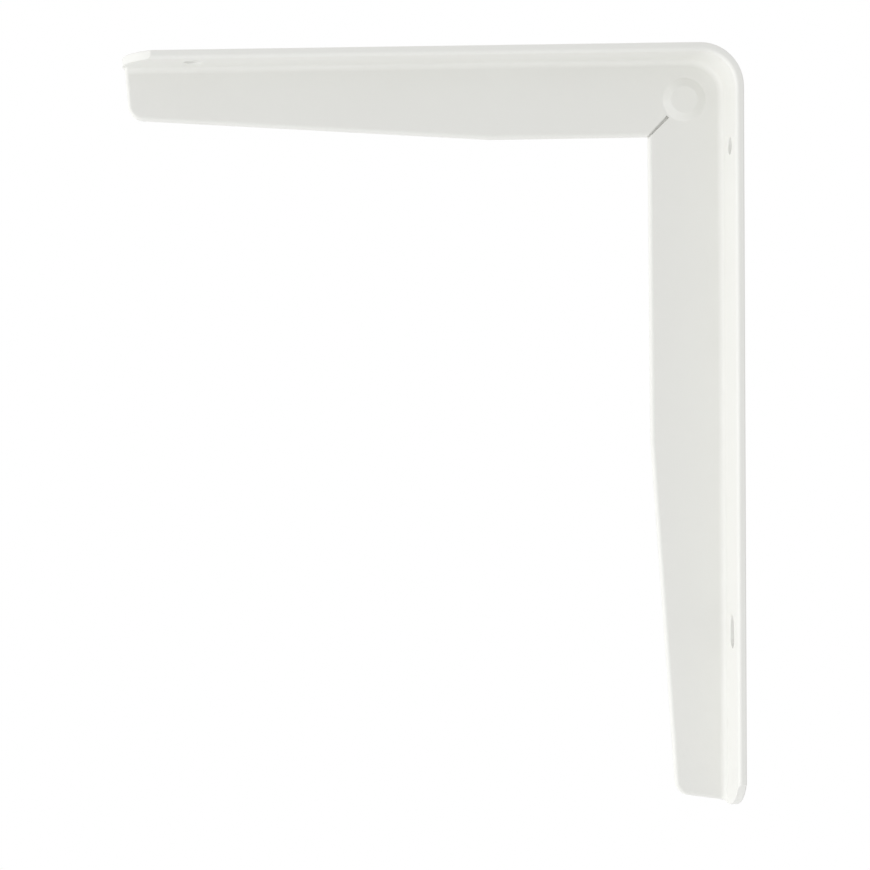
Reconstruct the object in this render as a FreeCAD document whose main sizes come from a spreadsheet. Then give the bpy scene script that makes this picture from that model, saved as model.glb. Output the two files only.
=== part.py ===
import FreeCAD, Part
import Sketcher
import math
import os
import re

# Shelf bracket in one piece: a steel strip bent round the outer corner, with a tapered rib standing along
# its middle. The wall lies at X = 0 and the shelf on Z = 0, and the bracket is the same on both sides of
# Y = 0. Where the rib closed as the strip was bent, a seam at 45 degrees shows on both its sides, as two
# shallow grooves that don't meet, and ends at a pressed boss.

doc = FreeCAD.newDocument("shelf_bracket")

SIZES = [
    # the strip against the shelf and the wall; strip_edge_flat is left between the rounds of its sides
    ("shelf_length", 197.0),
    ("wall_length", 250.0),
    ("strip_width", 40.0),
    ("strip_thickness", 2.8),
    ("corner_radius", 14.0),
    ("strip_end_rise", 11.6),
    ("outer_edge_round", 0.5),
    ("strip_edge_flat", 1.0),
    # the rib: parallel from the corner to each kink, then tapered; rib_edge_flat is left between its rounds
    ("rib_thickness", 3.2),
    ("rib_depth", 27.4),
    ("shelf_kink", 79.0),
    ("wall_kink", 127.0),
    ("shelf_tip_depth", 19.3),
    ("wall_tip_depth", 19.9),
    ("rib_setback", 0.5),
    ("shelf_tip_lean", 0.9),
    ("wall_tip_lean", 2.8),
    ("rib_tip_radius", 5.0),
    ("rib_edge_flat", 0.4),
    ("foot_radius", 2.2),
    # the boss and the seam; seam_core is the metal left between the seam's two grooves
    ("boss_place", 15.6),
    ("boss_base_radius", 7.0),
    ("boss_top_radius", 4.3),
    ("boss_height", 0.9),
    ("boss_blend", 1.2),
    ("seam_width", 0.5),
    ("seam_end_width", 1.1),
    ("seam_core", 0.8),
    ("seam_gap", 0.5),
    # screw holes, in one row on each side of the rib
    ("hole_diameter", 5.5),
    ("hole_edge_round", 0.3),
    ("row_spacing", 22.0),
    ("wall_hole_drop", 31.6),
    ("wall_slot_margin", 60.5),
    ("slot_length", 10.8),
    ("shelf_hole_margin", 23.5),
]

sheet = doc.addObject("Spreadsheet::Sheet", "sizes")
for row, (name, value) in enumerate(SIZES, start=1):
    sheet.set(f"A{row}", name)
    sheet.set(f"B{row}", str(value))
    sheet.setAlias(f"B{row}", name)
doc.recompute()

NAMES = [name for name, _ in SIZES]


def size(name):
    """The value of one size, in millimetres."""
    return float(sheet.get(name))


def cells(formula):
    """A formula whose size names are written as cells of the sheet."""
    return re.sub("[a-z_]+", lambda word: f"<<sizes>>.{word[0]}" if word[0] in NAMES else word[0], formula)


def value_of(formula):
    """What a formula of size names comes to, in millimetres."""
    sheet.set("D1", "=" + formula)
    sheet.recompute()
    return float(sheet.get("D1"))


# Sketches: every point is held by its distances from the body's origin

def new_sketch(body, name, role):
    """An empty sketch on the body's own origin plane with that role."""
    plane = next(feature for feature in body.Origin.OriginFeatures if feature.Role == role)
    sketch = body.newObject("Sketcher::SketchObject", name)
    sketch.AttachmentSupport = [(plane, "")]
    sketch.MapMode = "FlatFace"
    return sketch


def place_of(point):
    """The coordinates of a point given as two formulas; a leading minus sign means the negative side."""
    return [-value_of(text[1:]) if text.startswith("-") else value_of(text) for text in point]


def hold(sketch, geometry, end, point):
    """Holds one end of a line, or the centre of a circle, at a point given as two formulas."""
    for kind, axis, text in (("DistanceX", -2, point[0]), ("DistanceY", -1, point[1])):
        formula = text.lstrip("-")
        if formula == "0":
            sketch.addConstraint(Sketcher.Constraint("PointOnObject", geometry, end, axis))
            continue
        ends = (geometry, end, -1, 1) if text.startswith("-") else (-1, 1, geometry, end)
        number = sketch.addConstraint(Sketcher.Constraint(kind, *ends, value_of(formula)))
        sketch.setExpression(f"Constraints[{number}]", cells(formula))


def outline(sketch, points, arc=None):
    """A closed outline through points given as pairs of formulas.

    Its sides are straight, but the first is an arc where a centre and a radius are given for it.
    """
    places = [FreeCAD.Vector(*place_of(point), 0) for point in points]
    count = len(points)
    sides = [Part.LineSegment(places[index], places[(index + 1) % count]) for index in range(count)]
    if arc:
        centre = FreeCAD.Vector(*place_of(arc[0]), 0)
        turn = Part.Circle(centre, FreeCAD.Vector(0, 0, 1), value_of(arc[1]))
        sides[0] = Part.ArcOfCircle(turn, *[math.atan2(*(place - centre)[1::-1]) for place in places[:2]])
    for side in sides:
        sketch.addGeometry(side, False)
    for index in range(count):
        sketch.addConstraint(Sketcher.Constraint("Coincident", index, 2, (index + 1) % count, 1))
    if arc:
        number = sketch.addConstraint(Sketcher.Constraint("Radius", 0, value_of(arc[1])))
        sketch.setExpression(f"Constraints[{number}]", cells(arc[1]))
    for index, point in enumerate(points):
        hold(sketch, index, 1, point)


def circle(sketch, centre, diameter):
    """A circle round a point given as two formulas."""
    place = FreeCAD.Vector(*place_of(centre), 0)
    number = sketch.addGeometry(Part.Circle(place, FreeCAD.Vector(0, 0, 1), size(diameter) / 2), False)
    hold(sketch, number, 3, centre)
    constraint = sketch.addConstraint(Sketcher.Constraint("Diameter", number, size(diameter)))
    sketch.setExpression(f"Constraints[{constraint}]", cells(diameter))


def slot(sketch, centre, diameter, length):
    """An upright slot round a point given as two formulas: a round end, two sides and a round end."""
    radius = size(diameter) / 2
    place = FreeCAD.Vector(*place_of(centre), 0)
    rise = FreeCAD.Vector(0, size(length) / 2 - radius, 0)
    side = FreeCAD.Vector(radius, 0, 0)
    normal = FreeCAD.Vector(0, 0, 1)
    top = Part.Circle(place + rise, normal, radius)
    bottom = Part.Circle(place - rise, normal, radius)
    sketch.addGeometry(Part.ArcOfCircle(top, 0, math.pi), False)
    sketch.addGeometry(Part.LineSegment(place + rise - side, place - rise - side), False)
    sketch.addGeometry(Part.ArcOfCircle(bottom, math.pi, 2 * math.pi), False)
    sketch.addGeometry(Part.LineSegment(place - rise + side, place + rise + side), False)
    for index in range(4):
        sketch.addConstraint(Sketcher.Constraint("Tangent", index, 2, (index + 1) % 4, 1))
    constraint = sketch.addConstraint(Sketcher.Constraint("Radius", 0, radius))
    sketch.setExpression(f"Constraints[{constraint}]", cells(f"{diameter} / 2"))
    half = f"({length} - {diameter}) / 2"
    drop = centre[1].lstrip("-")
    hold(sketch, 0, 3, (centre[0], f"-({drop} - {half})"))
    hold(sketch, 2, 3, (centre[0], f"-({drop} + {half})"))


# Features

def pad(body, name, sketch, length):
    """Thickens a sketch equally to both sides of its plane."""
    feature = body.newObject("PartDesign::Pad", name)
    feature.Profile = sketch
    feature.Midplane = True
    feature.setExpression("Length", cells(length))
    doc.recompute()
    return feature


def pocket(body, name, sketch, both_ways=False, depth=None):
    """Cuts a sketch into the body, right through it where no depth is given, and checks that it cuts."""
    before = body.Tip.Shape.Volume
    feature = body.newObject("PartDesign::Pocket", name)
    feature.Profile = sketch
    feature.Midplane = both_ways
    if depth:
        feature.setExpression("Length", cells(depth))
    else:
        feature.Type = "ThroughAll"
    doc.recompute()
    if not feature.Shape.Volume < before:
        raise RuntimeError(f"{name} cut nothing")
    return feature


def fillet(body, name, test, radius):
    """Rounds the edges of the body that pass the test."""
    base = body.Tip
    edges = [f"Edge{number}" for number, edge in enumerate(base.Shape.Edges, start=1) if test(edge)]
    feature = body.newObject("PartDesign::Fillet", name)
    feature.Base = (base, edges)
    feature.setExpression("Radius", cells(radius))
    doc.recompute()
    return feature


def mirror(body, name, features):
    """Repeats features on the other side of the bracket's middle plane."""
    plane = next(feature for feature in body.Origin.OriginFeatures if feature.Role == "XZ_Plane")
    feature = body.newObject("PartDesign::Mirrored", name)
    feature.Originals = features
    feature.MirrorPlane = (plane, [""])
    doc.recompute()
    body.Tip = feature
    doc.recompute()
    return feature


# Edge tests: where an edge lies, by points along it

TOLERANCE = 0.001


def samples(edge):
    """Five points along an edge."""
    first, last = edge.ParameterRange
    return [edge.valueAt(first + (last - first) * step / 4) for step in range(5)]


def near(value, target):
    """True for two lengths that are the same within the tolerance."""
    return abs(value - target) < TOLERANCE


def across(edge, x, z):
    """True for an edge that runs across the bracket at that x and z."""
    return all(near(point.x, x) and near(point.z, z) for point in samples(edge))


def inward(point):
    """How far a point lies inside the outer face, which turns with the corner radius."""
    radius = size("corner_radius")
    if point.x > -radius and point.z > -radius:
        return radius - math.hypot(point.x + radius, point.z + radius)
    return -max(point.x, point.z)


def in_face(edge, depth):
    """True for an edge that lies in the strip's face at that depth below its outer one."""
    return all(near(inward(point), depth) for point in samples(edge))


def at_side(edge):
    """True for an edge along one of the strip's two long sides."""
    return all(near(abs(point.y), size("strip_width") / 2) for point in samples(edge))


def at_round_end(edge):
    """True for an edge along the round end of an arm."""
    radius = value_of(END_RADIUS)
    shelf_centre = radius - size("shelf_length")
    wall_centre = radius - size("wall_length")
    at_shelf_end = all(near(math.hypot(point.x - shelf_centre, point.y), radius) for point in samples(edge))
    at_wall_end = all(near(math.hypot(point.z - wall_centre, point.y), radius) for point in samples(edge))
    return at_shelf_end or at_wall_end


def at_rib_tip(edge):
    """True for the edges across the rib at the free corner of each tip."""
    shelf_end = size("rib_setback") + size("shelf_tip_lean") - size("shelf_length")
    wall_end = size("rib_setback") + size("wall_tip_lean") - size("wall_length")
    at_shelf_tip = across(edge, shelf_end, -size("shelf_tip_depth"))
    return at_shelf_tip or across(edge, -size("wall_tip_depth"), wall_end)


def on_rib_side(edge):
    """True for an edge in one of the rib's two flat sides."""
    return all(near(abs(point.y), size("rib_thickness") / 2) for point in samples(edge))


def at_foot(edge):
    """True for an edge where the rib stands on the strip."""
    return on_rib_side(edge) and all(near(inward(point), size("strip_thickness")) for point in samples(edge))


def on_rib_outline(edge):
    """True for an edge round the free sides of the rib."""
    depths = [inward(point) for point in samples(edge)[1:-1]]
    return on_rib_side(edge) and not any(near(depth, size("strip_thickness")) for depth in depths)


def on_boss_ring(edge):
    """True for the circles at the top and the base of the boss."""
    place = -size("boss_place")
    radii = [math.hypot(point.x - place, point.z - place) for point in samples(edge)]
    at_top = all(near(radius, size("boss_top_radius")) for radius in radii)
    at_base = all(near(radius, size("boss_base_radius")) for radius in radii)
    return at_top or at_base


def on_rim(edge):
    """True for an edge round a screw hole or slot, in the strip's inner face."""
    radius = size("hole_diameter") / 2
    aside = [abs(abs(point.y) - size("row_spacing") / 2) for point in samples(edge)]
    is_round = edge.Curve.TypeId == "Part::GeomCircle" and near(edge.Curve.Radius, radius)
    is_straight = all(near(distance, radius) for distance in aside)
    return in_face(edge, size("strip_thickness")) and (is_round or is_straight)


# The strip, bent round the outer corner

body = doc.addObject("PartDesign::Body", "shelf_bracket")
body.Label = "shelf_bracket"

strip_profile = new_sketch(body, "strip_profile", "XZ_Plane")
outline(strip_profile, [
    ("0", "0"),
    ("-shelf_length", "0"),
    ("-shelf_length", "-strip_thickness"),
    ("-strip_thickness", "-strip_thickness"),
    ("-strip_thickness", "-wall_length"),
    ("0", "-wall_length"),
])
pad(body, "strip", strip_profile, "strip_width")

thickness = size("strip_thickness")
fillet(body, "inner_bend", lambda edge: across(edge, -thickness, -thickness),
       "corner_radius - strip_thickness")
fillet(body, "outer_bend", lambda edge: across(edge, 0, 0), "corner_radius")

# Both ends are cut to an arc over the whole width, which rises by strip_end_rise in the middle

HALF_WIDTH = "(strip_width / 2)"
END_RADIUS = f"(({HALF_WIDTH} * {HALF_WIDTH} + strip_end_rise * strip_end_rise) / (2 * strip_end_rise))"

shelf_end_profile = new_sketch(body, "shelf_end_profile", "XY_Plane")
outline(shelf_end_profile, [
    ("-(shelf_length - strip_end_rise)", HALF_WIDTH),
    ("-(shelf_length - strip_end_rise)", "-" + HALF_WIDTH),
    ("-(shelf_length + strip_thickness)", "-" + HALF_WIDTH),
    ("-(shelf_length + strip_thickness)", HALF_WIDTH),
], ((f"-(shelf_length - {END_RADIUS})", "0"), END_RADIUS))
pocket(body, "shelf_end", shelf_end_profile, both_ways=True)

wall_end_profile = new_sketch(body, "wall_end_profile", "YZ_Plane")
outline(wall_end_profile, [
    ("-" + HALF_WIDTH, "-(wall_length - strip_end_rise)"),
    (HALF_WIDTH, "-(wall_length - strip_end_rise)"),
    (HALF_WIDTH, "-(wall_length + strip_thickness)"),
    ("-" + HALF_WIDTH, "-(wall_length + strip_thickness)"),
], (("0", f"-(wall_length - {END_RADIUS})"), END_RADIUS))
pocket(body, "wall_end", wall_end_profile, both_ways=True)

fillet(body, "outer_edges", lambda edge: in_face(edge, 0) and (at_side(edge) or at_round_end(edge)),
       "outer_edge_round")
fillet(body, "inner_sides", lambda edge: in_face(edge, thickness) and at_side(edge),
       "strip_thickness - outer_edge_round - strip_edge_flat")

# The rib along its middle, which starts halfway through the strip

FOOT = "-(strip_thickness / 2)"
SHELF_FOOT = "-(shelf_length - rib_setback)"
WALL_FOOT = "-(wall_length - rib_setback)"

rib_profile = new_sketch(body, "rib_profile", "XZ_Plane")
outline(rib_profile, [
    (FOOT, "-corner_radius"),
    ("-corner_radius", FOOT),
    (SHELF_FOOT, FOOT),
    (SHELF_FOOT, "-strip_thickness"),
    ("-(shelf_length - rib_setback - shelf_tip_lean)", "-shelf_tip_depth"),
    ("-shelf_kink", "-rib_depth"),
    ("-rib_depth", "-rib_depth"),
    ("-rib_depth", "-wall_kink"),
    ("-wall_tip_depth", "-(wall_length - rib_setback - wall_tip_lean)"),
    ("-strip_thickness", WALL_FOOT),
    (FOOT, WALL_FOOT),
], (("-corner_radius", "-corner_radius"), "corner_radius - strip_thickness / 2"))
pad(body, "rib", rib_profile, "rib_thickness")
fillet(body, "rib_tips", at_rib_tip, "rib_tip_radius")
fillet(body, "foot", at_foot, "foot_radius")
fillet(body, "rib_edges", on_rib_outline, "(rib_thickness - rib_edge_flat) / 2")

# The boss, raised on both sides of the rib

boss = new_sketch(body, "boss_profile", "XY_Plane")
boss.setExpression("AttachmentOffset.Base.z", "-" + cells("boss_place"))
TOP = "(rib_thickness / 2 + boss_height)"
BASE = "(rib_thickness / 2)"
outline(boss, [
    ("-boss_place", TOP),
    ("-(boss_place + boss_top_radius)", TOP),
    ("-(boss_place + boss_base_radius)", BASE),
    ("-(boss_place + boss_base_radius)", "-" + BASE),
    ("-(boss_place + boss_top_radius)", "-" + TOP),
    ("-boss_place", "-" + TOP),
])
axis_ends = [FreeCAD.Vector(-size("boss_place"), side * size("rib_thickness"), 0) for side in (-1, 1)]
axis = boss.addGeometry(Part.LineSegment(*axis_ends), True)
boss.addConstraint(Sketcher.Constraint("Vertical", axis))
boss.addConstraint(Sketcher.Constraint("PointOnObject", axis, 1, 5))
turned = body.newObject("PartDesign::Revolution", "boss")
turned.Profile = boss
turned.ReferenceAxis = (boss, ["Axis0"])
turned.Angle = 360
doc.recompute()
fillet(body, "boss_blend", on_boss_ring, "boss_blend")

# The seam, a tapered groove in each side of the rib, widest where it meets the boss

seam_profile = new_sketch(body, "seam_profile", "XZ_Plane")
seam_profile.setExpression("AttachmentOffset.Base.z", cells("rib_thickness / 2"))
BOSS_END = "boss_place + (boss_base_radius + seam_gap) * sqrt(0.5)"
FREE_END = "rib_depth + strip_thickness"
outline(seam_profile, [
    (f"-({BOSS_END} - seam_end_width * sqrt(0.125))", f"-({BOSS_END} + seam_end_width * sqrt(0.125))"),
    (f"-({BOSS_END} + seam_end_width * sqrt(0.125))", f"-({BOSS_END} - seam_end_width * sqrt(0.125))"),
    (f"-({FREE_END} + seam_width * sqrt(0.125))", f"-({FREE_END} - seam_width * sqrt(0.125))"),
    (f"-({FREE_END} - seam_width * sqrt(0.125))", f"-({FREE_END} + seam_width * sqrt(0.125))"),
])
seam = pocket(body, "seam", seam_profile, depth="(rib_thickness - seam_core) / 2")

# Screw holes on each side of the rib: a hole and a slot in the wall arm and a hole in the shelf arm

wall_hole_profile = new_sketch(body, "wall_hole_profile", "YZ_Plane")
circle(wall_hole_profile, ("row_spacing / 2", "-wall_hole_drop"), "hole_diameter")
wall_hole = pocket(body, "wall_hole", wall_hole_profile)

wall_slot_profile = new_sketch(body, "wall_slot_profile", "YZ_Plane")
slot(wall_slot_profile, ("row_spacing / 2", "-(wall_length - wall_slot_margin)"),
     "hole_diameter", "slot_length")
wall_slot = pocket(body, "wall_slot", wall_slot_profile)

shelf_hole_profile = new_sketch(body, "shelf_hole_profile", "XY_Plane")
circle(shelf_hole_profile, ("-(shelf_length - shelf_hole_margin)", "row_spacing / 2"), "hole_diameter")
shelf_hole = pocket(body, "shelf_hole", shelf_hole_profile)

mirror(body, "other_side", [seam, wall_hole, wall_slot, shelf_hole])
fillet(body, "hole_edges", on_rim, "hole_edge_round")

sheet.clear("D1")
doc.recompute()
for item in doc.Objects:
    if "Invalid" in item.State or "Error" in item.State:
        raise RuntimeError(f"{item.Name} failed: {item.State}")
if body.Shape.isNull() or not body.Shape.isValid():
    raise RuntimeError(f"{body.Label} has no valid shape")
os.makedirs("parts", exist_ok=True)
body.Shape.exportStep(f"parts/{body.Label}.step")
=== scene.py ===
import math

import bpy
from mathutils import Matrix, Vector


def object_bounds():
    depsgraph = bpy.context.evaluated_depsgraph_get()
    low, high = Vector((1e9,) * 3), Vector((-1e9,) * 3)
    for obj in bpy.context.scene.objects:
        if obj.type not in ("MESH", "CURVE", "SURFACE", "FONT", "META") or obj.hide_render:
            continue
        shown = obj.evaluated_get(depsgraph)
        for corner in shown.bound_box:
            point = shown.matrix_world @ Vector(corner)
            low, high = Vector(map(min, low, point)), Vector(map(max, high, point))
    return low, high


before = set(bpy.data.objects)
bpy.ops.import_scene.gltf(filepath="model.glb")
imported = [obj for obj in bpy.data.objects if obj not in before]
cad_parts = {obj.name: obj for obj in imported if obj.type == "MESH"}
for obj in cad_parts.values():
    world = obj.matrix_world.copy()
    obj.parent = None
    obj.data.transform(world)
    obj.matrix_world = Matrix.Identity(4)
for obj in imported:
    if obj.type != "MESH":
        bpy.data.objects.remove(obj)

cad_low, cad_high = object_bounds()

# The bracket: a steel strip bent at the corner, with a rib along its middle, finished in satin white
# powder coat. The coat sets with the faint waves of an orange peel a millimetre or two across, and its
# tone and gloss drift a little along an arm, as it lies thinner or thicker.

THIN_COAT = (0.814, 0.816, 0.787, 1.0)
THICK_COAT = (0.799, 0.799, 0.769, 1.0)
COAT_ROUGHNESS = 0.50
PEEL_PER_METRE = 620.0
SWELL_PER_METRE = 150.0
PEEL_SHARE = 0.6
SWELL_SHARE = 0.4
PEEL_DEPTH = 0.0001
PEEL_STRENGTH = 0.35
PEEL_GLOSS_CHANGE = 0.06
DRIFT_PER_METRE = 22.0
DRIFT_CONTRAST = 1.6
DRIFT_GLOSS_CHANGE = 0.10
NOISE_MIDDLE = 0.5

# A Mix node has sockets of the same name for numbers and colours, so these are told apart by number.
MIX_SHARE = 0
MIX_COLOUR_A = 6
MIX_COLOUR_B = 7
MIX_COLOUR_RESULT = 2


class Wire:
    """One output socket of a node tree, with operators that add Math nodes."""

    def __init__(self, tree, socket=None):
        self.tree = tree
        self.socket = socket

    def node(self, kind, settings, sockets, output=0):
        """The output of a new node: its settings are made first, then its sockets get values or wires."""
        made = self.tree.nodes.new(kind)
        for name, value in settings.items():
            setattr(made, name, value)
        for name, value in sockets.items():
            if isinstance(value, Wire):
                self.tree.links.new(value.socket, made.inputs[name])
            else:
                made.inputs[name].default_value = value
        return Wire(self.tree, made.outputs[output] if len(made.outputs) else None)

    def maths(self, operation, first, second):
        return self.node("ShaderNodeMath", {"operation": operation}, {0: first, 1: second})

    def __add__(self, other):
        return self.maths("ADD", self, other)

    def __radd__(self, other):
        return self.maths("ADD", other, self)

    def __sub__(self, other):
        return self.maths("SUBTRACT", self, other)

    def __rsub__(self, other):
        return self.maths("SUBTRACT", other, self)

    def __mul__(self, other):
        return self.maths("MULTIPLY", self, other)

    def __rmul__(self, other):
        return self.maths("MULTIPLY", other, self)


def empty_tree(owner):
    """The cleared node tree of a material or a world, as a wire from no socket."""
    owner.use_nodes = True
    owner.node_tree.nodes.clear()
    return Wire(owner.node_tree)


def mottle(place, per_metre, detail, roughness):
    """Noise with about that many patches to the metre."""
    return place.node("ShaderNodeTexNoise", {}, {
        "Vector": place,
        "Scale": per_metre,
        "Detail": detail,
        "Roughness": roughness,
    })


coat = bpy.data.materials.new("white_powder_coat")
tree = empty_tree(coat)
place = tree.node("ShaderNodeTexCoord", {}, {}, "Object")
peel = mottle(place, PEEL_PER_METRE, detail=2.0, roughness=0.45)
swell = mottle(place, SWELL_PER_METRE, detail=1.0, roughness=0.5)
drift = mottle(place, DRIFT_PER_METRE, detail=3.0, roughness=0.55)
relief = tree.node("ShaderNodeBump", {}, {
    "Height": PEEL_SHARE * peel + SWELL_SHARE * swell,
    "Strength": PEEL_STRENGTH,
    "Distance": PEEL_DEPTH,
})
thickness = (drift - NOISE_MIDDLE) * DRIFT_CONTRAST + NOISE_MIDDLE
tone = tree.node("ShaderNodeMix", {"data_type": "RGBA"}, {
    MIX_SHARE: thickness,
    MIX_COLOUR_A: THIN_COAT,
    MIX_COLOUR_B: THICK_COAT,
}, MIX_COLOUR_RESULT)
drift_gloss = (drift - NOISE_MIDDLE) * DRIFT_GLOSS_CHANGE
peel_gloss = (peel - NOISE_MIDDLE) * PEEL_GLOSS_CHANGE
gloss = COAT_ROUGHNESS + drift_gloss + peel_gloss
skin = tree.node("ShaderNodeBsdfPrincipled", {}, {"Base Color": tone, "Roughness": gloss, "Normal": relief})
tree.node("ShaderNodeOutputMaterial", {}, {"Surface": skin})

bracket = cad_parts["shelf_bracket"]
bracket.material_slots[0].material = coat

# The studio: white paper on the floor, far below the bracket, which hangs as it does on a wall, and a
# white surround. Both look plain white, but they light the bracket only as pale paper would, so that
# its own tone stays.

FLOOR_WIDTH = 8.0
FLOOR_DROP = 1.7
PAPER_TONE = (0.84, 0.84, 0.84, 1.0)
PAPER_GLOW = 0.5
SURROUND_TONE = (1.0, 1.0, 1.0, 1.0)
SURROUND_LIGHT = 0.80


def seen_directly(tree):
    """1 for what the camera sees by itself, in a gloss or through glass, and 0 for light on its way."""
    by_camera = tree.node("ShaderNodeLightPath", {}, {}, "Is Camera Ray")
    in_gloss = tree.node("ShaderNodeLightPath", {}, {}, "Is Glossy Ray")
    through_glass = tree.node("ShaderNodeLightPath", {}, {}, "Is Transmission Ray")
    return tree.maths("MAXIMUM", tree.maths("MAXIMUM", by_camera, in_gloss), through_glass)


bpy.ops.object.select_all(action="DESELECT")
bpy.ops.mesh.primitive_plane_add(size=FLOOR_WIDTH, location=(0.0, 0.0, cad_low.z - FLOOR_DROP))
floor = bpy.context.object
floor.name = "floor"
paper = bpy.data.materials.new("white_paper")
tree = empty_tree(paper)
matt = tree.node("ShaderNodeBsdfDiffuse", {}, {"Color": PAPER_TONE})
glow = tree.node("ShaderNodeEmission", {}, {"Strength": PAPER_GLOW * seen_directly(tree)})
sheet = tree.node("ShaderNodeAddShader", {}, {0: matt, 1: glow})
tree.node("ShaderNodeOutputMaterial", {}, {"Surface": sheet})
floor.data.materials.append(paper)

surround = bpy.data.worlds.new("surround")
bpy.context.scene.world = surround
tree = empty_tree(surround)
direct = seen_directly(tree)
level = direct + (1.0 - direct) * SURROUND_LIGHT
sky = tree.node("ShaderNodeBackground", {}, {"Color": SURROUND_TONE, "Strength": level})
tree.node("ShaderNodeOutputWorld", {}, {"Surface": sky})

# The lamps: four large soft boxes that face the middle of the bracket. The left one is much the
# strongest and stands low, so that it lights the inner faces of both arms, and the other three lift
# the shade underneath, on top and behind.

BRACKET_MIDDLE = (cad_low + cad_high) / 2


def soft_box(name, location, width, power):
    """A square lamp that faces the bracket, with its place and width in metres and its power in watts."""
    bpy.ops.object.light_add(type="AREA", location=location)
    lamp = bpy.context.object
    lamp.name = name
    lamp.rotation_euler = (BRACKET_MIDDLE - Vector(location)).to_track_quat("-Z", "Y").to_euler()
    lamp.data.shape = "SQUARE"
    lamp.data.size = width
    lamp.data.energy = power


soft_box("left_lamp", location=(-2.3, -0.4, -0.7), width=2.0, power=24.5)
soft_box("low_lamp", location=(-0.7, -1.0, -1.6), width=1.2, power=3.6)
soft_box("top_lamp", location=(-0.1, 0.1, 1.6), width=1.0, power=4.0)
soft_box("back_lamp", location=(0.5, 1.6, 0.4), width=1.0, power=3.0)

# The camera stands almost square to the bracket's side, a little to the left of its middle and high
# enough to look a few degrees down. Its place is in metres, its turns are in degrees, and its lens and
# sensor are in millimetres.

CAMERA_PLACE = (-0.11603, -0.52916, -0.08045)
CAMERA_TURNS = (85.3591, 1.1363, -1.9522)
CAMERA_LENS = 66.53
CAMERA_SENSOR = 36.0
NEAREST_SEEN = 0.01

bpy.ops.object.camera_add(location=CAMERA_PLACE)
camera = bpy.context.object
camera.rotation_euler = [math.radians(turn) for turn in CAMERA_TURNS]
camera.data.lens = CAMERA_LENS
camera.data.sensor_width = CAMERA_SENSOR
camera.data.clip_start = NEAREST_SEEN
bpy.context.scene.camera = camera
bpy.context.scene.view_settings.view_transform = "Standard"
